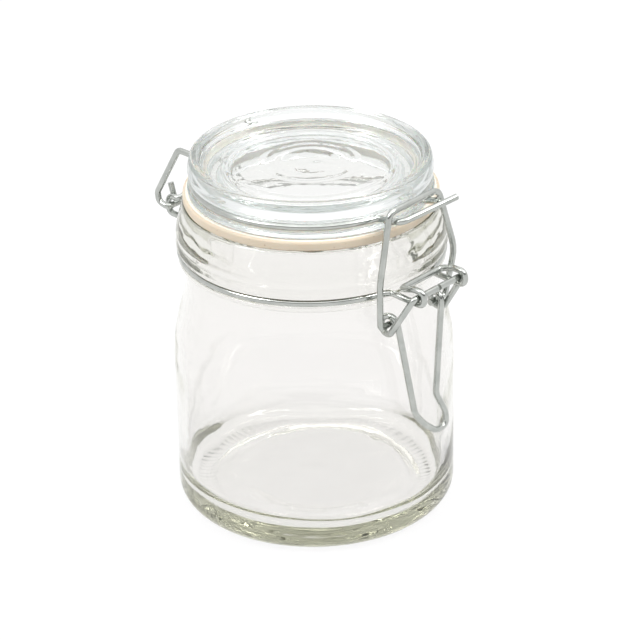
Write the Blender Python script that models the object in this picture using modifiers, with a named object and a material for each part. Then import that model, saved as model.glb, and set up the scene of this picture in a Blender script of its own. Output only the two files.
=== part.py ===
# Clip top jar: an empty glass jar with a glass lid, a rubber gasket and a bent-wire clip.
# Metres, +Z up. The origin is the centre of the base, on the surface the jar stands on.
# The clip is on the -Y side, the lid's hinge on the +Y side.

import math

import bpy
from mathutils import Vector

MM = 0.001
OBJECT_NAME = "clip_top_jar"

# Driving sizes, in millimetres
BODY_R = 46.0
HEEL_R = 6.5
WALL = 3.0
NECK_R = 41.1
GROOVE_R = 41.3
COLLAR_R = 44.0
MOUTH_R = 41.4
MOUTH_Z = 106.0
MOUTH_HOLE_R = 35.8
FLOOR_Z = 6.2
SHOULDER_Z = 54.0
COLLAR_FOOT_Z = 90.7
BEAD_TOP_Z = 87.9

GASKET_Z = 106.3
GASKET_THICK = 3.3
GASKET_R = 41.2
GASKET_HOLE_R = 33.8

LID_FOOT_Z = 109.9
LID_FLANGE_R = 39.7
LID_RIM_R = 39.5
LID_TOP_Z = 121.7
LID_GROOVE_R = 36.7
PLUG_R = 33.3
PLUG_FOOT_Z = 103.8
RECESS_Z = 119.0

WIRE_R = 1.05
LEAVE_BEND = 2.4
SOFT_BEND = 3.0
TIGHT_BEND = 1.9
EYE_R = 2.3
EYE_LEVEL = 2.1
NECK_WIRE_R = 42.8
NECK_WIRE_Z = 89.3
FRONT_EYE = (54.1, 91.2)
FRONT_EYE_X = 9.8
BRIDGE = (46.6, 91.9)
REAR_EYE = (-53.0, 90.9)
REAR_EYE_R = 2.6
REAR_EYE_DROP = 3.6
REAR_EYE_X = 10.0
REAR_BAR = (-50.6, 96.4)
REAR_BAR_BEND = 12.0

LID_WIRE_R = 38.3
LID_WIRE_Z = 113.3
TAB_X = 9.4
TAB_CORNER = (46.8, 114.6)
TAB_END_X = 13.3
TAB_END = (49.9, 116.4)
TAB_BEND = 2.8
TAB_INSET = 1.2
WELD_IN = 1.0
WELD_GAP = 0.3
ARM_X = 13.0
ARM_TOP_R = -46.9
ARM_BEND = (-57.5, 95.2)
ARM_FOOT = (-57.0, 91.8)
STUB_X = 7.2
STUB_TOP = (-57.2, 96.6)
STUB_FOOT = (-55.8, 92.1)

LEVER_SHIFT = -1.15
AXLE_SPLIT_X = -0.5
AXLE_GAP = 0.5
PIN_END_X = 12.35
CRANK_X = 12.95
LEVER_ARM_X = 10.45
COIL = (44.2, 79.7)
COIL_R = 2.8
COIL_TURN = (-40, -360)
COIL_STEPS = 12

BAIL_SHIFT = -1.15
BAIL_FOOT_X = 15.5
BAIL_HOOK_X = 8.25
BAIL_TOP_SHIFT = -0.2
BAIL_BOW_X = 17.9
BAIL_TOP_X = 11.5
BAIL_BOW = (45.4, 95.5)
BAIL_TOP = (44.0, 117.9)

LATHE_STEPS = 56
BEND_STEP = math.radians(30)
RING_STEP = math.radians(7.5)

# Colours, linear, with roughness, metallic and alpha
GLASS = ((0.80, 0.83, 0.80), 0.03, 0.0, 0.35)
LID_GLASS = ((0.76, 0.82, 0.81), 0.03, 0.0, 0.40)
RUBBER = ((0.82, 0.66, 0.50), 0.60, 0.0, 1.0)
ZINC = ((0.62, 0.63, 0.63), 0.28, 1.0, 1.0)


def clear_scene():
    for old in list(bpy.data.objects):
        bpy.data.objects.remove(old, do_unlink=True)


def new_collection(name):
    collection = bpy.data.collections.new(name)
    bpy.context.scene.collection.children.link(collection)
    return collection


def finish_material(name, look):
    colour, roughness, metallic, alpha = look
    material = bpy.data.materials.new(name)
    material.use_nodes = True
    shader = material.node_tree.nodes["Principled BSDF"]
    shader.inputs["Base Color"].default_value = (*colour, 1.0)
    shader.inputs["Roughness"].default_value = roughness
    shader.inputs["Metallic"].default_value = metallic
    shader.inputs["Alpha"].default_value = alpha
    return material


def place(obj, collection, material):
    obj.data.materials.append(material)
    collection.objects.link(obj)
    return obj


def round_corner(centre_r, centre_z, radius, start, end, count):
    """Points of a profile's rounded corner, from one angle in degrees to another."""
    points = []
    for i in range(count + 1):
        angle = math.radians(start + (end - start) * i / count)
        points.append((centre_r + radius * math.cos(angle), centre_z + radius * math.sin(angle)))
    return points


def turned(name, profile, collection, look, closed=False):
    """A lathed piece: a profile of (radius, height) in mm, turned about the jar's axis."""
    mesh = bpy.data.meshes.new(name)
    edges = [(i, i + 1) for i in range(len(profile) - 1)]
    if closed:
        edges.append((len(profile) - 1, 0))
    mesh.from_pydata([(r * MM, 0.0, z * MM) for r, z in profile], edges, [])
    obj = bpy.data.objects.new(name, mesh)
    screw = obj.modifiers.new("Turn", "SCREW")
    screw.axis = "Z"
    screw.angle = 2 * math.pi
    screw.steps = LATHE_STEPS
    screw.render_steps = LATHE_STEPS
    screw.use_merge_vertices = True
    screw.merge_threshold = 0.00002
    screw.use_smooth_shade = True
    return place(obj, collection, finish_material(name + "_finish", look))


def bent(corners, closed=False):
    """The centre line of a bent wire: corners (x, y, z, bend radius), each rounded by an arc."""
    points = []
    count = len(corners)
    for i, corner in enumerate(corners):
        here = Vector(corner[:3])
        radius = corner[3]
        if radius == 0 or (not closed and i in (0, count - 1)):
            points.append(here)
            continue
        back = (Vector(corners[i - 1][:3]) - here).normalized()
        ahead = (Vector(corners[(i + 1) % count][:3]) - here).normalized()
        half = back.angle(ahead) / 2
        middle = (back + ahead).normalized()
        centre = here + middle * (radius / math.sin(half))
        first = here + back * (radius / math.tan(half)) - centre
        last = here + ahead * (radius / math.tan(half)) - centre
        sweep = first.angle(last)
        normal = first.cross(last).normalized()
        side = normal.cross(first)
        steps = max(2, round(sweep / BEND_STEP))
        for k in range(steps + 1):
            angle = sweep * k / steps
            points.append(centre + first * math.cos(angle) + side * math.sin(angle))
    return points


def wire(name, points, collection, closed=False):
    """A round wire along a centre line in mm, with cut ends unless it is closed."""
    curve = bpy.data.curves.new(name, "CURVE")
    curve.dimensions = "3D"
    curve.bevel_depth = WIRE_R * MM
    curve.bevel_resolution = 2
    curve.use_fill_caps = True
    spline = curve.splines.new("POLY")
    spline.points.add(len(points) - 1)
    for point, place_mm in zip(spline.points, points):
        point.co = (*(Vector(place_mm) * MM), 1.0)
    spline.use_cyclic_u = closed
    spline.use_smooth = True
    obj = bpy.data.objects.new(name, curve)
    return place(obj, collection, finish_material(name + "_finish", ZINC))


def mirrored(points):
    return [(-p[0], *p[1:]) for p in reversed(points)]


def ring_arc(radius, height, start, end):
    """Points round the jar from one angle to another, as corners with no bend of their own."""
    count = max(1, round(abs(end - start) / RING_STEP))
    angles = [start + (end - start) * i / count for i in range(count + 1)]
    return [(radius * math.sin(a), -radius * math.cos(a), height, 0) for a in angles]


def make_jar(collection):
    """Pressed glass: inner floor and wall, mouth, ribbed collar, wire groove, neck, body, heel, base."""
    body_hole_r = BODY_R - WALL
    profile = [(0, FLOOR_Z + 0.5), (14, FLOOR_Z + 0.3), (26, FLOOR_Z)]
    profile += round_corner(body_hole_r - 8.5, FLOOR_Z + 8.5, 8.5, -90, 0, 4)
    profile += [(body_hole_r, SHOULDER_Z), (42.4, 60.0), (40.9, 66.5), (38.8, 73.0), (37.2, 79.0)]
    profile += [(36.5, 87.0), (36.2, 97.0), (MOUTH_HOLE_R, 104.6), (36.5, MOUTH_Z)]
    profile += [(MOUTH_R - 0.9, MOUTH_Z), (MOUTH_R, MOUTH_Z - 0.8), (42.5, 102.4), (43.3, 99.6)]
    profile += [(COLLAR_R, 96.2), (COLLAR_R - 0.35, 94.2), (COLLAR_R + 0.1, 92.2)]
    profile += [(COLLAR_R - 0.4, COLLAR_FOOT_Z), (GROOVE_R, COLLAR_FOOT_Z), (GROOVE_R, BEAD_TOP_Z)]
    profile += [(43.0, BEAD_TOP_Z), (43.4, 87.0), (42.6, 86.0), (NECK_R + 0.1, 85.2), (NECK_R, 81.0)]
    profile += [(NECK_R + 0.1, 77.3), (42.1, 73.4), (43.3, 69.2), (44.5, 64.9), (45.5, 60.2)]
    profile += [(BODY_R, SHOULDER_Z)]
    profile += round_corner(BODY_R - HEEL_R, HEEL_R, HEEL_R, 0, -90, 4)
    profile += [(34.2, 0.0), (32.2, 0.8), (28.0, 1.9), (0, 2.4)]
    return turned("jar", profile, collection, GLASS)


def make_gasket(collection):
    """A flat ring of natural rubber, a little wider than the mouth, with rounded edges."""
    top = GASKET_Z + GASKET_THICK
    profile = [(GASKET_HOLE_R, GASKET_Z), (GASKET_HOLE_R, top), (GASKET_R - 0.6, top)]
    profile += [(GASKET_R, top - 0.7), (GASKET_R, GASKET_Z + 0.7), (GASKET_R - 0.6, GASKET_Z)]
    return turned("gasket", profile, collection, RUBBER, closed=True)


def make_lid(collection):
    """Pressed glass: recessed top with rings, rounded rim, wire groove, flange and a hollow plug."""
    profile = [(0, RECESS_Z - 0.5), (9.5, RECESS_Z - 0.1), (14.5, RECESS_Z - 0.6), (24.0, RECESS_Z - 0.2)]
    profile += [(27.5, RECESS_Z + 0.4), (29.0, RECESS_Z), (33.4, RECESS_Z), (35.0, RECESS_Z + 0.8)]
    profile += [(36.0, LID_TOP_Z - 0.4), (37.2, LID_TOP_Z), (38.5, LID_TOP_Z - 0.5)]
    profile += [(LID_RIM_R - 0.2, LID_TOP_Z - 1.9), (LID_RIM_R, 117.2), (LID_RIM_R - 0.3, 115.4)]
    profile += [(38.6, 114.75), (LID_GROOVE_R, 114.7), (LID_GROOVE_R, 111.9), (39.2, 111.9)]
    profile += [(LID_FLANGE_R, 111.3), (LID_FLANGE_R, 110.5), (39.2, LID_FOOT_Z)]
    profile += [(PLUG_R, LID_FOOT_Z), (PLUG_R - 0.3, PLUG_FOOT_Z + 0.8), (PLUG_R - 1.1, PLUG_FOOT_Z)]
    profile += [(PLUG_R - 2.7, PLUG_FOOT_Z), (29.8, PLUG_FOOT_Z + 1.0), (28.4, 112.6), (26.8, 114.2)]
    profile += [(0, 114.6)]
    return turned("lid", profile, collection, LID_GLASS)


def make_neck_wire(collection):
    """Closed ring under the collar, with two eyes and a bridge in front and two eyes and a bar behind."""
    eye_r, eye_z = FRONT_EYE
    front_start = math.asin(-(FRONT_EYE_X + LEAVE_BEND) / NECK_WIRE_R)
    side = [(-FRONT_EYE_X, -NECK_WIRE_R, NECK_WIRE_Z, LEAVE_BEND)]
    side += [(-FRONT_EYE_X, -(eye_r - EYE_LEVEL), eye_z - EYE_R, SOFT_BEND)]
    side += [(-FRONT_EYE_X, -(eye_r + EYE_R), eye_z - EYE_R, EYE_R)]
    side += [(-FRONT_EYE_X, -(eye_r + EYE_R), eye_z + EYE_R, EYE_R)]
    side += [(-FRONT_EYE_X, -(eye_r - EYE_LEVEL), eye_z + EYE_R, SOFT_BEND)]
    side += [(-FRONT_EYE_X, -BRIDGE[0], BRIDGE[1], TIGHT_BEND)]
    front = side + mirrored(side)

    rear_r, rear_z = REAR_EYE
    rear_start = math.pi - math.asin((REAR_EYE_X + LEAVE_BEND) / NECK_WIRE_R)
    side = [(REAR_EYE_X, NECK_WIRE_R, NECK_WIRE_Z, LEAVE_BEND)]
    side += [(REAR_EYE_X, -(rear_r + EYE_LEVEL), rear_z - REAR_EYE_DROP, SOFT_BEND)]
    side += [(REAR_EYE_X, -(rear_r - REAR_EYE_R), rear_z - REAR_EYE_DROP, REAR_EYE_R)]
    side += [(REAR_EYE_X, -(rear_r - REAR_EYE_R), rear_z + REAR_EYE_R, REAR_EYE_R)]
    side += [(REAR_EYE_X, -REAR_BAR[0], rear_z + REAR_EYE_R, TIGHT_BEND)]
    side += [(0, -REAR_BAR[0], REAR_BAR[1], REAR_BAR_BEND)]
    rear = side + mirrored(side)[1:]

    right = ring_arc(NECK_WIRE_R, NECK_WIRE_Z, -front_start, rear_start)
    left = mirrored(right)
    return wire("neck_wire", bent(front + right + rear + left, closed=True), collection, closed=True)


def lid_arm(side):
    """From the hinge end of a lid wire to the lid's groove: hook, pin through the eye, sloping arm."""
    pin_r, pin_z = REAR_EYE
    stub_x = side * STUB_X
    arm_x = side * ARM_X
    hook = [(stub_x, -STUB_TOP[0], STUB_TOP[1], 0), (stub_x, -STUB_FOOT[0], STUB_FOOT[1], 1.4)]
    pin = [(stub_x, -pin_r, pin_z, 1.2), (arm_x, -pin_r, pin_z, 1.3)]
    arm = [(arm_x, -ARM_FOOT[0], ARM_FOOT[1], 2.2), (arm_x, -ARM_BEND[0], ARM_BEND[1], 2.6)]
    arm += [(arm_x, -ARM_TOP_R, LID_WIRE_Z, 2.2), (arm_x, LID_WIRE_R, LID_WIRE_Z, LEAVE_BEND)]
    return hook + pin + arm


def make_lid_wires(collection):
    """Two half wires in the lid's groove, from the hinge pins round to the lifting tab in front."""
    rear_start = math.pi - math.asin((ARM_X + LEAVE_BEND) / LID_WIRE_R)
    front_end = math.asin((TAB_X + LEAVE_BEND) / LID_WIRE_R)
    corner_r, corner_z = TAB_CORNER
    end_r, end_z = TAB_END
    leave_r = LID_WIRE_R - TAB_INSET
    slope_r = LID_WIRE_R + WIRE_R
    left = lid_arm(-1) + ring_arc(LID_WIRE_R, LID_WIRE_Z, -rear_start, -front_end)
    left += [(-TAB_X, -leave_r, LID_WIRE_Z, LEAVE_BEND), (-TAB_X, -slope_r, LID_WIRE_Z, SOFT_BEND)]
    left += [(-TAB_X, -corner_r, corner_z, TAB_BEND), (TAB_END_X, -end_r, end_z, 0)]
    weld_x = TAB_X - WELD_IN
    weld_part = (weld_x + TAB_X) / (TAB_END_X + TAB_X)
    weld_r = corner_r + (end_r - corner_r) * weld_part - 2 * WIRE_R - WELD_GAP
    weld_z = corner_z + (end_z - corner_z) * weld_part
    right = lid_arm(1) + ring_arc(LID_WIRE_R, LID_WIRE_Z, rear_start, front_end)
    right += [(TAB_X, -leave_r, LID_WIRE_Z, LEAVE_BEND), (TAB_X, -slope_r, LID_WIRE_Z, SOFT_BEND)]
    right += [(weld_x, -weld_r, weld_z, 0)]
    wire("lid_wire_left", bent(left), collection)
    wire("lid_wire_right", bent(right), collection)


def lever_coil(side):
    """Nearly one turn round the bail's hook, from the crank's side to the handle's side."""
    coil_r, coil_z = COIL
    start, end = COIL_TURN
    points = []
    for i in range(COIL_STEPS + 1):
        part = i / COIL_STEPS
        angle = math.radians(start + (end - start) * part)
        x = side * (CRANK_X + (LEVER_ARM_X - CRANK_X) * part) + LEVER_SHIFT
        points.append((x, -(coil_r + COIL_R * math.cos(angle)), coil_z + COIL_R * math.sin(angle), 0))
    return points


def lever_half(side):
    """From the cut end in the middle: pin through the eye, crank and coil."""
    pin_r, pin_z = FRONT_EYE
    cut_end = (AXLE_SPLIT_X + side * AXLE_GAP, -pin_r, pin_z, 0)
    return [cut_end, (side * PIN_END_X, -pin_r, pin_z, 1.3)] + lever_coil(side)


def make_lever(collection):
    """One wire: both cut ends meet between the neck wire's eyes, and its loop is the handle."""
    foot = [(-7.5, -50.4, 47.6, 6.0), (-3.6, -51.0, 42.5, 9.0), (1.6, -51.5, 38.2, 5.0)]
    foot += [(6.7, -51.6, 38.3, 3.0), (6.5, -51.1, 43.4, 6.0), (3.5, -49.8, 50.4, 4.0)]
    points = lever_half(-1) + foot + list(reversed(lever_half(1)))
    return wire("lever_wire", bent(points), collection)


def bail_half(side):
    """From the cut end of the hook, through the coil, up the bowed leg to the top corner."""
    hook_r, hook_z = COIL
    hook_end_x = side * BAIL_HOOK_X + BAIL_SHIFT
    foot_x = side * BAIL_FOOT_X + BAIL_SHIFT
    return [(hook_end_x, -hook_r, hook_z, 0), (foot_x, -hook_r, hook_z, 1.5),
            (side * BAIL_BOW_X + BAIL_TOP_SHIFT, -BAIL_BOW[0], BAIL_BOW[1], 14.0),
            (side * BAIL_TOP_X + BAIL_TOP_SHIFT, -BAIL_TOP[0], BAIL_TOP[1], 3.2)]


def make_bail(collection):
    """One wire: hooks in the lever's coils, two bowed legs and the bar that holds the tab down."""
    left = bail_half(-1)
    right = [tuple(p) for p in reversed(bail_half(1))]
    return wire("bail_wire", bent(left + right), collection)


clear_scene()
jar_parts = new_collection(OBJECT_NAME)
make_jar(jar_parts)
make_gasket(jar_parts)
make_lid(jar_parts)
make_neck_wire(jar_parts)
make_lid_wires(jar_parts)
make_lever(jar_parts)
make_bail(jar_parts)
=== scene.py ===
import math

import bmesh
import bpy
from mathutils import Matrix, Vector, noise


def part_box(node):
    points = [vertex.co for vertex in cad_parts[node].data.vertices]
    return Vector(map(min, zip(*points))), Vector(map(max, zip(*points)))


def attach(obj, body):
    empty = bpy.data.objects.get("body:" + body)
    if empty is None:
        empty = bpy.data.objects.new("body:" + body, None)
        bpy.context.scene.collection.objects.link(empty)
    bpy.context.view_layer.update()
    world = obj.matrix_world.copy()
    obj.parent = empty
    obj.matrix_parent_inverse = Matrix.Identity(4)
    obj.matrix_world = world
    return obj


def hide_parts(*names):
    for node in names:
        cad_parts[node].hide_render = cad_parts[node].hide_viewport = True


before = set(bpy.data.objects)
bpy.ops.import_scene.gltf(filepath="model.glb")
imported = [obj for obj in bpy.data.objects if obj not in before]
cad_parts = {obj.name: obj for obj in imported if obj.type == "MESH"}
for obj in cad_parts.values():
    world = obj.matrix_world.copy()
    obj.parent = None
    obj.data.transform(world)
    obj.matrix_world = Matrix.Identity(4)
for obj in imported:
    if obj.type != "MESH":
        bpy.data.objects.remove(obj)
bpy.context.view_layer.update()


# The jar is soda-lime glass, blown into a mould: a 3 mm wall, a thick floor, a shoulder, a neck with a
# groove for the wire, and a collar under the mouth. The mould leaves the outside true, the inside wavy,
# and a ring of small ticks under the heel, which keep the hot glass from crazing on the belt.
MM = 0.001
LATHE_STEPS = 384
LONGEST_EDGE = 2.6
BEND_STEP = math.radians(9)

jar_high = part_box("jar")[1]
BODY_R = jar_high.x / MM
MOUTH_Z = jar_high.z / MM
WALL = 3.0
HEEL_R = 6.5
FLOOR_Z = 6.2
FLOOR_CORNER = 8.5
TICKS = 96
TICK_DEPTH = 0.09
PUSH_UP = 1.3
TICK_RING = (33.5, 42.5)

JAR_GLASS_TINT = "#FCFBFB"
JAR_GLASS_DEPTH = "#CDCEBB"
JAR_GLASS_DENSITY = 24.0


def linear(colour):
    """An sRGB hex colour as the linear colour that a shader takes."""
    parts = [int(colour[i:i + 2], 16) / 255 for i in (1, 3, 5)]
    return (*[c / 12.92 if c <= 0.04045 else ((c + 0.055) / 1.055) ** 2.4 for c in parts], 1.0)


def add_node(tree, kind, values, **settings):
    """Adds a node. A value is a number, a colour or another node's output, by its socket's name or place."""
    added = tree.nodes.new(kind)
    for name, setting in settings.items():
        setattr(added, name, setting)
    for socket, value in values.items():
        if isinstance(value, bpy.types.NodeSocket):
            tree.links.new(value, added.inputs[socket])
        else:
            added.inputs[socket].default_value = value
    return added


def new_material(name):
    material = bpy.data.materials.new(name)
    material.use_nodes = True
    material.node_tree.nodes.clear()
    return material


def rounded(corners, closed=False, step=BEND_STEP):
    """A line through corners (x, y, z, radius), with each corner rounded as far as its neighbours allow."""
    points = []
    count = len(corners)
    for i, corner in enumerate(corners):
        here = Vector(corner[:3])
        if not closed and i in (0, count - 1) or corner[3] == 0:
            points.append(here)
            continue
        back = Vector(corners[i - 1][:3]) - here
        ahead = Vector(corners[(i + 1) % count][:3]) - here
        turn = math.pi - back.angle(ahead)
        if turn < 0.001:
            points.append(here)
            continue
        reach = min(corner[3] * math.tan(turn / 2), 0.48 * back.length, 0.48 * ahead.length)
        radius = reach / math.tan(turn / 2)
        middle = (back.normalized() + ahead.normalized()).normalized()
        centre = here + middle * (radius / math.cos(turn / 2))
        first = here + back.normalized() * reach - centre
        last = here + ahead.normalized() * reach - centre
        side = first.cross(last).cross(first).normalized() * radius
        steps = max(2, round(turn / step))
        for k in range(steps + 1):
            points.append(centre + first * math.cos(turn * k / steps) + side * math.sin(turn * k / steps))
    return points


def split_long(points, longest):
    """The same line with points added, so that no edge is longer than this."""
    line = [points[0]]
    for here in points[1:]:
        back = line[-1]
        pieces = math.ceil((here - back).length / longest)
        line += [back.lerp(here, (k + 1) / pieces) for k in range(pieces)]
    return line


def turned(outline, closed=False, steps=LATHE_STEPS):
    """A lathed mesh in mm: an outline of (radius, height, corner radius) spun about the jar's axis."""
    line = rounded([(r, 0, z, corner) for r, z, corner in outline], closed)
    line = split_long(line + line[:1] if closed else line, LONGEST_EDGE)
    work = bmesh.new()
    verts = [work.verts.new(p) for p in line]
    edges = [work.edges.new(pair) for pair in zip(verts, verts[1:])]
    bmesh.ops.spin(work, geom=verts + edges, cent=(0, 0, 0), axis=(0, 0, 1), angle=2 * math.pi,
                   steps=steps, use_merge=True)
    bmesh.ops.remove_doubles(work, verts=work.verts, dist=0.0005)
    bmesh.ops.recalc_face_normals(work, faces=work.faces)
    return work


def place(name, work, material, body, slot, *nodes):
    """Makes a bmesh in mm an object of the scene that rides on a body. The slot argument is not used."""
    bmesh.ops.scale(work, vec=(MM, MM, MM), verts=work.verts)
    for face in work.faces:
        face.smooth = True
    mesh = bpy.data.meshes.new(name)
    work.to_mesh(mesh)
    work.free()
    mesh.set_sharp_from_angle(angle=math.radians(50))
    mesh.materials.append(material)
    obj = bpy.data.objects.new(name, mesh)
    bpy.context.scene.collection.objects.link(obj)
    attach(obj, body)
    if nodes:
        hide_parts(*nodes)
    return obj


def waves(point, wave, depth, shift=0.0):
    """Smooth unevenness: a height in mm that varies over a wave length in mm."""
    return depth * noise.noise(point / wave + Vector((shift, shift, shift)))


def fade(value, low, high):
    """0 below low, 1 above high, and smooth between."""
    part = min(1.0, max(0.0, (value - low) / (high - low)))
    return part * part * (3 - 2 * part)


def jar_outline():
    hole_r = BODY_R - WALL
    inside = [(0, FLOOR_Z + 0.5, 0), (14, FLOOR_Z + 0.3, 40), (26, FLOOR_Z, 40)]
    inside += [(hole_r, FLOOR_Z, FLOOR_CORNER), (hole_r, 59, 60), (36.5, 81.5, 60), (36.2, 97, 90)]
    mouth = [(35.8, 104.9, 1.4), (36.4, MOUTH_Z, 0.8), (41.5, MOUTH_Z, 1.0)]
    collar = [(42.5, 102.4, 9), (43.3, 99.6, 9), (44.05, 96.3, 3), (43.55, 94.2, 2), (44.15, 92.1, 1.2)]
    groove = [(43.7, 90.7, 0.4), (41.3, 90.7, 0.5), (41.3, 87.9, 0.5)]
    bead = [(43.3, 87.9, 0.35), (43.5, 86.7, 0.6), (41.1, 85.3, 0.9)]
    outside = [(41.1, 77.0, 45), (BODY_R, 59.5, 55), (BODY_R, 0, HEEL_R)]
    base = [(34.2, 0, 1.0), (32.2, 0.8, 1.8), (28, 1.9, 12), (0, 2.4, 0)]
    return inside + mouth + collar + groove + bead + outside + base


def waver_jar(work):
    """Gives the glass the unevenness that blowing and pressing leave, and the ticks under the heel."""
    for vert in work.verts:
        p = vert.co
        r = math.hypot(p.x, p.y)
        out = Vector((p.x, p.y, 0)) / max(r, 0.001)
        angle = math.atan2(p.y, p.x)
        inner_r = BODY_R - WALL + 0.6
        if p.z < 58:
            inside = r < inner_r and p.z > 4
        else:
            inside = r < 38.6 or r < 44.3 - 0.29 * (p.z - 58)
        if inside:
            low = 1 - fade(p.z, 8, 30)
            flat = fade(r, 3, 8)
            lobes = 0.55 * math.sin(3 * angle + 0.6) + 0.35 * math.sin(5 * angle + 2.1)
            vert.co += out * (waves(p, 19, 0.30) + low * flat * lobes * fade(r, 20, 34))
            raised = 1 - fade(r - 2.2 * lobes, 26.5, 32.5)
            vert.co.z += low * (PUSH_UP * raised + waves(p, 13, 0.35, 3.7) + waves(p, 5, 0.06, 8.1))
            vert.co += out * fade(p.z, 84, 88) * waves(Vector((p.x, p.y, p.z * 3)), 4.5, 0.16, 5.5)
        elif p.z > 2.6:
            vert.co += out * waves(p, 15, 0.06, 1.3)
        if p.z < 1.5 and TICK_RING[0] < r < TICK_RING[1]:
            middle = (TICK_RING[0] + TICK_RING[1]) / 2
            width = (TICK_RING[1] - TICK_RING[0]) / 2
            window = 1 - fade(abs(r - middle), width * 0.75, width)
            bow = 1.6 * ((r - middle) / width) ** 2
            vert.co.z += window * TICK_DEPTH * (0.5 - 0.5 * math.cos(TICKS * angle + bow))


def moulded_glass(name, tint, depth, density):
    """Moulded soda-lime glass: clear and very smooth, with a faint ripple, and tinted where it is thick."""
    material = new_material(name)
    tree = material.node_tree
    place_at = add_node(tree, "ShaderNodeTexCoord", {}).outputs["Object"]
    ripple = add_node(tree, "ShaderNodeTexNoise", {"Vector": place_at, "Scale": 1 / (7 * MM), "Detail": 2.0})
    bump = add_node(tree, "ShaderNodeBump", {
        "Height": ripple.outputs["Fac"], "Strength": 0.35, "Distance": 0.12 * MM})
    smear = add_node(tree, "ShaderNodeTexNoise", {"Vector": place_at, "Scale": 1 / (15 * MM), "Detail": 4.0})
    rough = add_node(tree, "ShaderNodeMapRange", {
        "Value": smear.outputs["Fac"], "From Min": 0.45, "From Max": 0.75, "To Min": 0.0, "To Max": 0.035})
    surface = add_node(tree, "ShaderNodeBsdfPrincipled", {
        "Base Color": linear(tint), "Roughness": rough.outputs["Result"], "IOR": 1.52,
        "Transmission Weight": 1.0, "Normal": bump.outputs["Normal"]})
    inside = add_node(tree, "ShaderNodeVolumeAbsorption", {"Color": linear(depth), "Density": density})
    add_node(tree, "ShaderNodeOutputMaterial", {
        "Surface": surface.outputs["BSDF"], "Volume": inside.outputs["Volume"]})
    return material


jar_mesh = turned(jar_outline())
waver_jar(jar_mesh)
jar_material = moulded_glass("blown_soda_lime_glass", JAR_GLASS_TINT, JAR_GLASS_DEPTH, JAR_GLASS_DENSITY)
place("jar_glass", jar_mesh, jar_material, "jar", "jar_glass", "jar")


# The lid is pressed soda-lime glass, a little bluer than the jar. Its top is recessed inside a rounded
# rim, with a raised ring and the faint rings and swirl that the plunger leaves. A groove round its side
# holds the lid wires, and a hollow plug below it centres it in the mouth.
lid_low, lid_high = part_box("lid")
LID_TOP_Z = lid_high.z / MM
PLUG_FOOT_Z = lid_low.z / MM
RECESS_Z = LID_TOP_Z - 2.7
LID_GLASS_TINT = "#FDFEFE"
LID_GLASS_DEPTH = "#C6D0CD"
LID_GLASS_DENSITY = 11.0


def lid_outline():
    top = [(0, RECESS_Z - 0.5, 0), (7.2, RECESS_Z - 0.46, 8), (9.6, RECESS_Z - 0.36, 6)]
    top += [(11.6, RECESS_Z - 0.5, 6), (13.4, RECESS_Z - 0.5, 4), (14.8, RECESS_Z - 0.4, 4)]
    top += [(16.6, RECESS_Z - 0.5, 6), (24.5, RECESS_Z - 0.3, 12), (26.4, RECESS_Z - 0.1, 3)]
    top += [(27.5, RECESS_Z + 0.12, 1.2), (28.6, RECESS_Z - 0.02, 1.2), (33.6, RECESS_Z, 1.6)]
    rim = [(35.2, RECESS_Z + 0.8, 1.6), (36.2, LID_TOP_Z, 1.0), (38.8, LID_TOP_Z, 1.6)]
    rim += [(39.55, 117.6, 5), (39.2, 115.0, 1.2)]
    groove = [(38.4, 114.7, 0.5), (36.7, 114.7, 0.6), (36.7, 111.9, 0.6)]
    flange = [(39.7, 111.9, 0.7), (39.7, 109.9, 0.6)]
    plug = [(33.3, 109.9, 0.5), (33.0, PLUG_FOOT_Z, 1.0), (29.9, PLUG_FOOT_Z, 0.9)]
    plug += [(28.4, 113.4, 2.4), (26.4, 114.3, 4), (0, 114.6, 0)]
    return top + rim + groove + flange + plug


def waver_lid(work):
    for vert in work.verts:
        p = vert.co
        r = math.hypot(p.x, p.y)
        angle = math.atan2(p.y, p.x)
        out = Vector((p.x, p.y, 0)) / max(r, 0.001)
        if r < 34:
            swirl = math.sin(angle * 2 + r * 0.9) * (1 - fade(r, 3, 12)) * fade(r, 0, 4)
            vert.co.z += 0.05 * swirl + waves(p, 9, 0.03, 2.2) + waves(p, 3.5, 0.006, 6.1)
        else:
            vert.co += out * waves(p, 12, 0.08, 4.4)


lid_mesh = turned(lid_outline())
waver_lid(lid_mesh)
lid_material = moulded_glass("pressed_soda_lime_glass", LID_GLASS_TINT, LID_GLASS_DEPTH, LID_GLASS_DENSITY)
place("lid_glass", lid_mesh, lid_material, "lid", "lid_glass", "lid")


# The gasket is a flat ring of natural rubber, moulded and trimmed, a little uneven at its outer edge.
# It is matt and cream, with darker specks of filler, and painted darker towards its outer edge and side as
# painted shade.
gasket_low, gasket_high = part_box("gasket")
GASKET_R = gasket_high.x / MM
GASKET_HOLE_R = 33.8
GASKET_FOOT = gasket_low.z / MM
GASKET_TOP = gasket_high.z / MM
RUBBER_FACE = "#FBF5E8"
# The next two colours are painted shade for the ring's outer edge and side.
RUBBER_SHADE_PALE = "#CCC1AF"
RUBBER_SHADE_WARM = "#C3B49E"
RUBBER_SPECK = "#8D7052"
# The painted shade fades in from this far inside the outer edge and is full at the next distance.
SIDE_SHADE_FROM = 1.2
SIDE_SHADE_FULLY = 0.5


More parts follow.
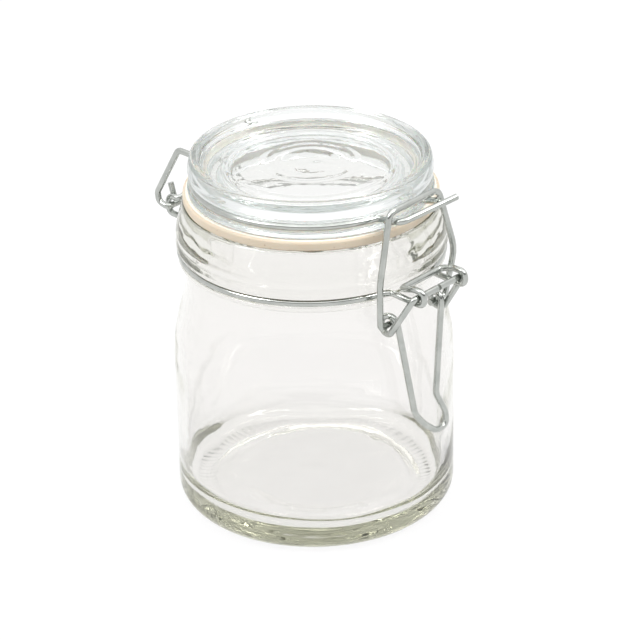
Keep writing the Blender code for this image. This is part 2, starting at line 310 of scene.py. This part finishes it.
def natural_rubber():
    """Moulded natural rubber: matt, softly lit from inside, with sparse specks up to 0.5 mm wide, and painted
    shade that darkens its outer edge and side.
    """
    material = new_material("moulded_natural_rubber")
    tree = material.node_tree
    place_at = add_node(tree, "ShaderNodeTexCoord", {}).outputs["Object"]
    cloud = add_node(tree, "ShaderNodeTexNoise", {"Vector": place_at, "Scale": 1 / (9 * MM), "Detail": 5.0})
    # Painted shade: the colour of the shaded outer edge and side, with its tone varied at random.
    edge = add_node(tree, "ShaderNodeMix", {
        "Factor": cloud.outputs["Fac"], 6: linear(RUBBER_SHADE_PALE), 7: linear(RUBBER_SHADE_WARM)}, data_type="RGBA")
    flat_place = add_node(tree, "ShaderNodeVectorMath", {0: place_at, 1: (1.0, 1.0, 0.0)},
                          operation="MULTIPLY")
    radius = add_node(tree, "ShaderNodeVectorMath", {0: flat_place.outputs["Vector"]}, operation="LENGTH")
    # Painted shade: the ring is darkened towards its outer edge and down its side.
    side_shade = add_node(tree, "ShaderNodeMapRange", {
        "Value": radius.outputs["Value"], "From Min": (GASKET_R - SIDE_SHADE_FROM) * MM,
        "From Max": (GASKET_R - SIDE_SHADE_FULLY) * MM, "To Min": 0.0, "To Max": 1.0},
        interpolation_type="SMOOTHSTEP")
    body = add_node(tree, "ShaderNodeMix", {
        "Factor": side_shade.outputs["Result"], 6: linear(RUBBER_FACE), 7: edge.outputs[2]}, data_type="RGBA")
    cells = add_node(tree, "ShaderNodeTexVoronoi", {"Vector": place_at, "Scale": 1 / (1.1 * MM)})
    size = add_node(tree, "ShaderNodeTexNoise", {"Vector": place_at, "Scale": 1 / (3.5 * MM), "Detail": 1.0})
    reach = add_node(tree, "ShaderNodeMapRange", {
        "Value": size.outputs["Fac"], "From Min": 0.46, "From Max": 0.72, "To Min": 0.0, "To Max": 0.24})
    speck = add_node(tree, "ShaderNodeMath", {0: cells.outputs["Distance"], 1: reach.outputs["Result"]},
                     operation="LESS_THAN")
    dark = add_node(tree, "ShaderNodeMath", {0: speck.outputs[0], 1: 0.6}, operation="MULTIPLY")
    colour = add_node(tree, "ShaderNodeMix", {
        "Factor": dark.outputs[0], 6: body.outputs[2], 7: linear(RUBBER_SPECK)}, data_type="RGBA")
    grain = add_node(tree, "ShaderNodeTexNoise", {"Vector": place_at, "Scale": 1 / (0.5 * MM), "Detail": 3.0})
    bump = add_node(tree, "ShaderNodeBump", {
        "Height": grain.outputs["Fac"], "Strength": 0.5, "Distance": 0.05 * MM})
    rough = add_node(tree, "ShaderNodeMapRange", {
        "Value": cloud.outputs["Fac"], "To Min": 0.5, "To Max": 0.72})
    surface = add_node(tree, "ShaderNodeBsdfPrincipled", {
        "Base Color": colour.outputs[2], "Roughness": rough.outputs["Result"], "IOR": 1.52,
        "Subsurface Weight": 0.25, "Subsurface Radius": (1.0, 0.6, 0.4), "Subsurface Scale": 1.2 * MM,
        "Normal": bump.outputs["Normal"]})
    add_node(tree, "ShaderNodeOutputMaterial", {"Surface": surface.outputs["BSDF"]})
    return material


gasket_mesh = turned([
    (GASKET_HOLE_R, GASKET_FOOT, 0.5), (GASKET_HOLE_R, GASKET_TOP, 0.5),
    (GASKET_R, GASKET_TOP, 0.8), (GASKET_R, GASKET_FOOT, 0.8)], closed=True)
for vert in gasket_mesh.verts:
    away = Vector((vert.co.x, vert.co.y, 0)).normalized()
    edge = fade(math.hypot(vert.co.x, vert.co.y), 37, 41)
    vert.co += away * edge * waves(vert.co, 14, 0.22, 9.3)
place("gasket_rubber", gasket_mesh, natural_rubber(), "lid", "gasket_rubber", "gasket")


# The neck wire is one closed loop of zinc-plated steel wire in the groove under the collar. In front it
# runs out into two eyes for the lever's pins, joined by a bridge against the glass, and behind into two
# eyes for the lid wires' pins, joined by an arched bar.
WIRE_R = 1.05
WIRE_SIDES = 5
EYE_R = 2.3
EYE_LEVEL = 2.1
RING_STEP = math.radians(3)
NECK_WIRE_R = 42.8
NECK_WIRE_Z = 89.3
LEAVE_BEND = 2.4
SOFT_BEND = 3.0
TIGHT_BEND = 1.9
FRONT_EYE = (54.1, 91.2)
FRONT_EYE_X = 9.8
BRIDGE = (46.6, 91.9)
REAR_EYE = (-53.0, 90.9)
REAR_EYE_R = 2.6
REAR_EYE_DROP = 3.6
REAR_EYE_X = 10.0
REAR_BAR = (-50.6, 96.4)
REAR_BAR_BEND = 12.0
ZINC_BRIGHT = "#CBCDC9"
ZINC_DULL = "#9EA29E"


def zinc_plated_steel():
    """Drawn steel wire, bright zinc plated: clean and silvery, with faint cloudy patches and a fine grain."""
    material = new_material("zinc_plated_steel_wire")
    tree = material.node_tree
    place_at = add_node(tree, "ShaderNodeTexCoord", {}).outputs["Object"]
    cloud = add_node(tree, "ShaderNodeTexNoise", {"Vector": place_at, "Scale": 1 / (4 * MM), "Detail": 5.0})
    colour = add_node(tree, "ShaderNodeMix", {
        "Factor": cloud.outputs["Fac"], 6: linear(ZINC_BRIGHT), 7: linear(ZINC_DULL)}, data_type="RGBA")
    rough = add_node(tree, "ShaderNodeMapRange", {
        "Value": cloud.outputs["Fac"], "From Min": 0.3, "From Max": 0.7, "To Min": 0.08, "To Max": 0.22})
    grain = add_node(tree, "ShaderNodeTexNoise", {"Vector": place_at, "Scale": 1 / (0.7 * MM), "Detail": 3.0})
    bump = add_node(tree, "ShaderNodeBump", {
        "Height": grain.outputs["Fac"], "Strength": 0.4, "Distance": 0.03 * MM})
    surface = add_node(tree, "ShaderNodeBsdfPrincipled", {
        "Base Color": colour.outputs[2], "Metallic": 1.0, "Roughness": rough.outputs["Result"],
        "Normal": bump.outputs["Normal"]})
    add_node(tree, "ShaderNodeOutputMaterial", {"Surface": surface.outputs["BSDF"]})
    return material


def bent_wire(name, corners, body, node, closed=False):
    """A round wire along a line of bends, with its cut ends slightly rounded."""
    points = rounded(corners, closed)
    curve = bpy.data.curves.new(name, "CURVE")
    curve.dimensions = "3D"
    curve.bevel_depth = WIRE_R
    curve.bevel_resolution = WIRE_SIDES
    curve.use_fill_caps = True
    spline = curve.splines.new("POLY")
    spline.points.add(len(points) - 1)
    for point, at in zip(spline.points, points):
        point.co = (*at, 1.0)
    spline.use_cyclic_u = closed
    guide = bpy.data.objects.new(name + "_guide", curve)
    bpy.context.scene.collection.objects.link(guide)
    tube = bpy.data.meshes.new_from_object(guide.evaluated_get(bpy.context.evaluated_depsgraph_get()))
    bpy.data.objects.remove(guide)
    work = bmesh.new()
    work.from_mesh(tube)
    bpy.data.meshes.remove(tube)
    bmesh.ops.remove_doubles(work, verts=work.verts, dist=0.001)
    ends = [face for face in work.faces if len(face.verts) > 4]
    rims = list({edge for face in ends for edge in face.edges})
    if rims:
        bmesh.ops.bevel(work, geom=rims, offset=0.28, offset_type="OFFSET", segments=3, profile=0.5,
                        affect="EDGES", material=-1)
    bmesh.ops.recalc_face_normals(work, faces=work.faces)
    return place(name, work, wire_material, body, "clip_wire", node)


def mirrored(corners):
    return [(-c[0], *c[1:]) for c in reversed(corners)]


def ring_arc(radius, height, start, end):
    """Corners round the jar from one angle to another, close enough together to need no rounding."""
    count = max(1, round(abs(end - start) / RING_STEP))
    angles = [start + (end - start) * i / count for i in range(count + 1)]
    return [(radius * math.sin(a), -radius * math.cos(a), height, 0) for a in angles]


def neck_wire_line():
    eye_r, eye_z = FRONT_EYE
    side = [(-FRONT_EYE_X, -NECK_WIRE_R, NECK_WIRE_Z, LEAVE_BEND)]
    side += [(-FRONT_EYE_X, -(eye_r - EYE_LEVEL), eye_z - EYE_R, SOFT_BEND)]
    side += [(-FRONT_EYE_X, -(eye_r + EYE_R), eye_z - EYE_R, EYE_R)]
    side += [(-FRONT_EYE_X, -(eye_r + EYE_R), eye_z + EYE_R, EYE_R)]
    side += [(-FRONT_EYE_X, -(eye_r - EYE_LEVEL), eye_z + EYE_R, SOFT_BEND)]
    side += [(-FRONT_EYE_X, -BRIDGE[0], BRIDGE[1], TIGHT_BEND)]
    front = side + mirrored(side)

    rear_r, rear_z = REAR_EYE
    side = [(REAR_EYE_X, NECK_WIRE_R, NECK_WIRE_Z, LEAVE_BEND)]
    side += [(REAR_EYE_X, -(rear_r + EYE_LEVEL), rear_z - REAR_EYE_DROP, SOFT_BEND)]
    side += [(REAR_EYE_X, -(rear_r - REAR_EYE_R), rear_z - REAR_EYE_DROP, REAR_EYE_R)]
    side += [(REAR_EYE_X, -(rear_r - REAR_EYE_R), rear_z + REAR_EYE_R, REAR_EYE_R)]
    side += [(REAR_EYE_X, -REAR_BAR[0], rear_z + REAR_EYE_R, TIGHT_BEND)]
    side += [(0, -REAR_BAR[0], REAR_BAR[1], REAR_BAR_BEND)]
    rear = side + mirrored(side)[1:]

    front_start = math.asin((FRONT_EYE_X + LEAVE_BEND) / NECK_WIRE_R)
    rear_start = math.pi - math.asin((REAR_EYE_X + LEAVE_BEND) / NECK_WIRE_R)
    right = ring_arc(NECK_WIRE_R, NECK_WIRE_Z, front_start, rear_start)
    return front + right + rear + mirrored(right)


wire_material = zinc_plated_steel()
bent_wire("neck_wire_loop", neck_wire_line(), "jar", "neck_wire", closed=True)


# Two half wires lie in the lid's groove. Behind, each slopes down to a pin in the neck wire's eye and
# hooks up inside it. In front they run out to the lifting tab: the left one turns along the tab's bar
# and past its end, and the right one is welded to the back of that bar.
LID_WIRE_R = 38.3
LID_WIRE_Z = 113.3
TAB_X = 9.4
TAB_CORNER = (46.8, 114.6)
TAB_END_X = 13.3
TAB_END = (49.9, 116.4)
TAB_BEND = 2.8
TAB_INSET = 1.2
WELD_IN = 1.0
WELD_GAP = 0.3
WELD_SIZE = (1.25, 1.0, 0.75)
ARM_X = 13.0
ARM_TOP_R = -46.9
ARM_FOOT = (-57.0, 91.8)
ARM_BEND = (-57.5, 95.2)
STUB_X = 7.2
STUB_TOP = (-57.2, 96.6)
STUB_FOOT = (-55.8, 92.1)


def lid_arm(side):
    pin_r, pin_z = REAR_EYE
    stub_x = side * STUB_X
    arm_x = side * ARM_X
    hook = [(stub_x, -STUB_TOP[0], STUB_TOP[1], 0), (stub_x, -STUB_FOOT[0], STUB_FOOT[1], 1.4)]
    pin = [(stub_x, -pin_r, pin_z, 1.2), (arm_x, -pin_r, pin_z, 1.3)]
    arm = [(arm_x, -ARM_FOOT[0], ARM_FOOT[1], 2.2), (arm_x, -ARM_BEND[0], ARM_BEND[1], 2.6)]
    arm += [(arm_x, -ARM_TOP_R, LID_WIRE_Z, 2.2), (arm_x, LID_WIRE_R, LID_WIRE_Z, LEAVE_BEND)]
    return hook + pin + arm


lid_ring_start = math.pi - math.asin((ARM_X + LEAVE_BEND) / LID_WIRE_R)
lid_ring_end = math.asin((TAB_X + LEAVE_BEND) / LID_WIRE_R)
corner_r, corner_z = TAB_CORNER
end_r, end_z = TAB_END
leave_r = LID_WIRE_R - TAB_INSET
slope_r = LID_WIRE_R + WIRE_R
left_wire = lid_arm(-1) + ring_arc(LID_WIRE_R, LID_WIRE_Z, -lid_ring_start, -lid_ring_end)
left_wire += [(-TAB_X, -leave_r, LID_WIRE_Z, LEAVE_BEND), (-TAB_X, -slope_r, LID_WIRE_Z, SOFT_BEND)]
left_wire += [(-TAB_X, -corner_r, corner_z, TAB_BEND), (TAB_END_X, -end_r, end_z, 0)]
bent_wire("lid_wire_left_bend", left_wire, "lid", "lid_wire_left")

weld_x = TAB_X - WELD_IN
weld_part = (weld_x + TAB_X) / (TAB_END_X + TAB_X)
weld_bar_r = corner_r + (end_r - corner_r) * weld_part
weld_r = weld_bar_r - 2 * WIRE_R - WELD_GAP
weld_z = corner_z + (end_z - corner_z) * weld_part
right_wire = lid_arm(1) + ring_arc(LID_WIRE_R, LID_WIRE_Z, lid_ring_start, lid_ring_end)
right_wire += [(TAB_X, -leave_r, LID_WIRE_Z, LEAVE_BEND), (TAB_X, -slope_r, LID_WIRE_Z, SOFT_BEND)]
right_wire += [(weld_x, -weld_r, weld_z, 0)]
bent_wire("lid_wire_right_bend", right_wire, "lid", "lid_wire_right")

weld_mesh = bmesh.new()
bmesh.ops.create_icosphere(weld_mesh, subdivisions=3, radius=1.0)
bmesh.ops.scale(weld_mesh, vec=WELD_SIZE, verts=weld_mesh.verts)
for vert in weld_mesh.verts:
    vert.co *= 1 + waves(vert.co, 0.8, 0.12)
bmesh.ops.translate(weld_mesh, vec=(weld_x, -(weld_r + weld_bar_r) / 2, weld_z - 0.15), verts=weld_mesh.verts)
place("tab_weld", weld_mesh, wire_material, "lid", "clip_wire")


# The lever is one wire. Both its cut ends meet between the neck wire's eyes. From each it runs out
# through an eye as a pin, down a crank, once round the bail's hook, and down to the handle's bent loop.
LEVER_SHIFT = -1.15
AXLE_SPLIT_X = -0.5
AXLE_GAP = 0.5
PIN_END_X = 12.35
CRANK_X = 12.95
LEVER_ARM_X = 10.45
COIL = (44.2, 79.7)
COIL_R = 2.8
COIL_TURN = (-40, -360)
COIL_STEPS = 36


def lever_half(side):
    cut_end = (AXLE_SPLIT_X + side * AXLE_GAP, -FRONT_EYE[0], FRONT_EYE[1], 0)
    line = [cut_end, (side * PIN_END_X, -FRONT_EYE[0], FRONT_EYE[1], 1.3)]
    for i in range(COIL_STEPS + 1):
        part = i / COIL_STEPS
        angle = math.radians(COIL_TURN[0] + (COIL_TURN[1] - COIL_TURN[0]) * part)
        x = side * (CRANK_X + (LEVER_ARM_X - CRANK_X) * part) + LEVER_SHIFT
        line.append((x, -(COIL[0] + COIL_R * math.cos(angle)), COIL[1] + COIL_R * math.sin(angle), 0))
    return line


handle = [(-7.5, -50.4, 47.6, 6.0), (-3.6, -51.0, 42.5, 9.0), (1.6, -51.5, 38.2, 5.0)]
handle += [(6.7, -51.6, 38.3, 3.0), (6.5, -51.1, 43.4, 6.0), (3.5, -49.8, 50.4, 4.0)]
bent_wire("lever_wire_bend", lever_half(-1) + handle + list(reversed(lever_half(1))), "lever", "lever_wire")


# The bail is one wire: a hook in each coil of the lever, two bowed legs, and the bar across the top
# that holds the lid's tab down.
BAIL_SHIFT = -1.15
BAIL_FOOT_X = 15.5
BAIL_HOOK_X = 8.25
BAIL_TOP_SHIFT = -0.2
BAIL_BOW_X = 17.9
BAIL_TOP_X = 11.5
BAIL_BOW = (45.4, 95.5)
BAIL_TOP = (44.0, 117.9)


def bail_half(side):
    hook = [(side * BAIL_HOOK_X + BAIL_SHIFT, -COIL[0], COIL[1], 0)]
    hook += [(side * BAIL_FOOT_X + BAIL_SHIFT, -COIL[0], COIL[1], 1.5)]
    leg = [(side * BAIL_BOW_X + BAIL_TOP_SHIFT, -BAIL_BOW[0], BAIL_BOW[1], 14.0)]
    leg += [(side * BAIL_TOP_X + BAIL_TOP_SHIFT, -BAIL_TOP[0], BAIL_TOP[1], 3.2)]
    return hook + leg


bent_wire("bail_wire_bend", bail_half(-1) + list(reversed(bail_half(1))), "bail", "bail_wire")


# The table is a plain white board lit from below, as for product photographs, so that it stays pale
# under the glass. It is wide enough that its edge never shows behind the jar.
FLOOR_SIZE = 8.0
BOARD_GLOW = 0.9
FLOOR_GAP = 0.05 * MM
floor_mesh = bpy.data.meshes.new("table_board")
floor_work = bmesh.new()
bmesh.ops.create_grid(floor_work, x_segments=1, y_segments=1, size=FLOOR_SIZE / 2)
bmesh.ops.translate(floor_work, vec=(0, 0, -FLOOR_GAP), verts=floor_work.verts)
floor_work.to_mesh(floor_mesh)
floor_work.free()
floor = bpy.data.objects.new("table_board", floor_mesh)
bpy.context.scene.collection.objects.link(floor)
board = new_material("matt_white_board")
board_tree = board.node_tree
board_at = add_node(board_tree, "ShaderNodeTexCoord", {}).outputs["Object"]
board_tooth = add_node(board_tree, "ShaderNodeTexNoise", {"Vector": board_at, "Scale": 1 / (1.5 * MM)})
board_bump = add_node(board_tree, "ShaderNodeBump", {
    "Height": board_tooth.outputs["Fac"], "Strength": 0.1, "Distance": 0.02 * MM})
board_face = add_node(board_tree, "ShaderNodeBsdfPrincipled", {
    "Base Color": linear("#4E4E4E"), "Roughness": 0.9, "Specular IOR Level": 0.1,
    "Emission Color": linear("#FFFFFF"), "Emission Strength": BOARD_GLOW,
    "Normal": board_bump.outputs["Normal"]})
add_node(board_tree, "ShaderNodeOutputMaterial", {"Surface": board_face.outputs["BSDF"]})
floor_mesh.materials.append(board)


# The light is a white studio, brighter overhead, with a dark band across the camera's side, which draws
# the dark lines on the wire and the glass. Two soft boxes above give the highlights.
CAMERA_AZIMUTH = math.radians(-47)
STUDIO_WHITE = 1.0
STUDIO_DARK = 0.12
STUDIO_TOP = 2.0
BAND_HEIGHT = 0.52
world = bpy.data.worlds.new("white_studio")
world.use_nodes = True
world.node_tree.nodes.clear()
bpy.context.scene.world = world
studio = world.node_tree
direction = add_node(studio, "ShaderNodeTexCoord", {}).outputs["Generated"]
towards_camera = (math.sin(CAMERA_AZIMUTH), -math.cos(CAMERA_AZIMUTH), 0.0)
facing = add_node(studio, "ShaderNodeVectorMath", {0: direction, 1: towards_camera}, operation="DOT_PRODUCT")
near_side = add_node(studio, "ShaderNodeMapRange", {
    "Value": facing.outputs["Value"], "From Min": 0.2, "From Max": 0.5,
    "To Min": 0.0, "To Max": STUDIO_WHITE - STUDIO_DARK}, interpolation_type="SMOOTHSTEP")
height = add_node(studio, "ShaderNodeSeparateXYZ", {"Vector": direction})
from_middle = add_node(studio, "ShaderNodeMath", {
    0: height.outputs["Z"], 1: BAND_HEIGHT}, operation="SUBTRACT")
apart = add_node(studio, "ShaderNodeMath", {0: from_middle.outputs[0]}, operation="ABSOLUTE")
in_band = add_node(studio, "ShaderNodeMapRange", {
    "Value": apart.outputs[0], "From Min": 0.08, "From Max": 0.16,
    "To Min": 1.0, "To Max": 0.0}, interpolation_type="SMOOTHSTEP")
band = add_node(studio, "ShaderNodeMath", {
    0: near_side.outputs["Result"], 1: in_band.outputs["Result"]}, operation="MULTIPLY")
overhead = add_node(studio, "ShaderNodeMapRange", {
    "Value": height.outputs["Z"], "From Min": 0.6, "From Max": 0.9,
    "To Min": STUDIO_WHITE, "To Max": STUDIO_TOP}, interpolation_type="SMOOTHSTEP")
level = add_node(studio, "ShaderNodeMath", {
    0: overhead.outputs["Result"], 1: band.outputs[0]}, operation="SUBTRACT")
sky = add_node(studio, "ShaderNodeBackground", {"Color": linear("#FFFFFF"), "Strength": level.outputs[0]})
add_node(studio, "ShaderNodeOutputWorld", {"Surface": sky.outputs["Background"]})


def soft_box(name, azimuth, elevation, distance, size, power):
    """A square soft box that looks at the jar's middle."""
    light = bpy.data.lights.new(name, "AREA")
    light.shape = "SQUARE"
    light.size = size
    light.energy = power
    lamp = bpy.data.objects.new(name, light)
    bpy.context.scene.collection.objects.link(lamp)
    a, e = math.radians(azimuth), math.radians(elevation)
    away = Vector((math.sin(a) * math.cos(e), -math.cos(a) * math.cos(e), math.sin(e)))
    lamp.location = away * distance + Vector((0, 0, 0.06))
    lamp.rotation_euler = away.to_track_quat("Z", "Y").to_euler()
    return lamp


soft_box("soft_box_left", -115, 50, 1.2, 0.45, 6.0)
soft_box("soft_box_right", 30, 55, 1.2, 0.45, 6.0)


# The camera is a long lens a metre away, above the jar and to the left of its clip, turned a little
# about its own axis, as the photograph was.
CAMERA_ELEVATION = math.radians(27.3)
CAMERA_ROLL = math.radians(1.1)
CAMERA_DISTANCE = 1.0
CAMERA_LENS = 171.4
LOOK_AT = Vector((0, 0, 0.0614))
SIDE_STEP = 0.0021
right = Vector((math.cos(CAMERA_AZIMUTH), math.sin(CAMERA_AZIMUTH), 0))
backward = Vector((math.sin(CAMERA_AZIMUTH) * math.cos(CAMERA_ELEVATION),
                   -math.cos(CAMERA_AZIMUTH) * math.cos(CAMERA_ELEVATION), math.sin(CAMERA_ELEVATION)))
up = backward.cross(right)
rolled_right = right * math.cos(CAMERA_ROLL) - up * math.sin(CAMERA_ROLL)
rolled_up = right * math.sin(CAMERA_ROLL) + up * math.cos(CAMERA_ROLL)
lens = bpy.data.cameras.new("camera")
lens.lens = CAMERA_LENS
lens.sensor_width = 36.0
camera = bpy.data.objects.new("camera", lens)
bpy.context.scene.collection.objects.link(camera)
turn = Matrix((rolled_right, rolled_up, backward)).transposed().to_4x4()
camera.matrix_world = Matrix.Translation(LOOK_AT + backward * CAMERA_DISTANCE + right * SIDE_STEP) @ turn
bpy.context.scene.camera = camera

# Light that runs along inside the jar's thick floor is reflected there many times before it leaves.
LIGHT_BOUNCES = 32
scene = bpy.context.scene
scene.view_settings.view_transform = "Standard"
scene.cycles.max_bounces = LIGHT_BOUNCES
scene.cycles.transmission_bounces = LIGHT_BOUNCES
scene.cycles.glossy_bounces = LIGHT_BOUNCES
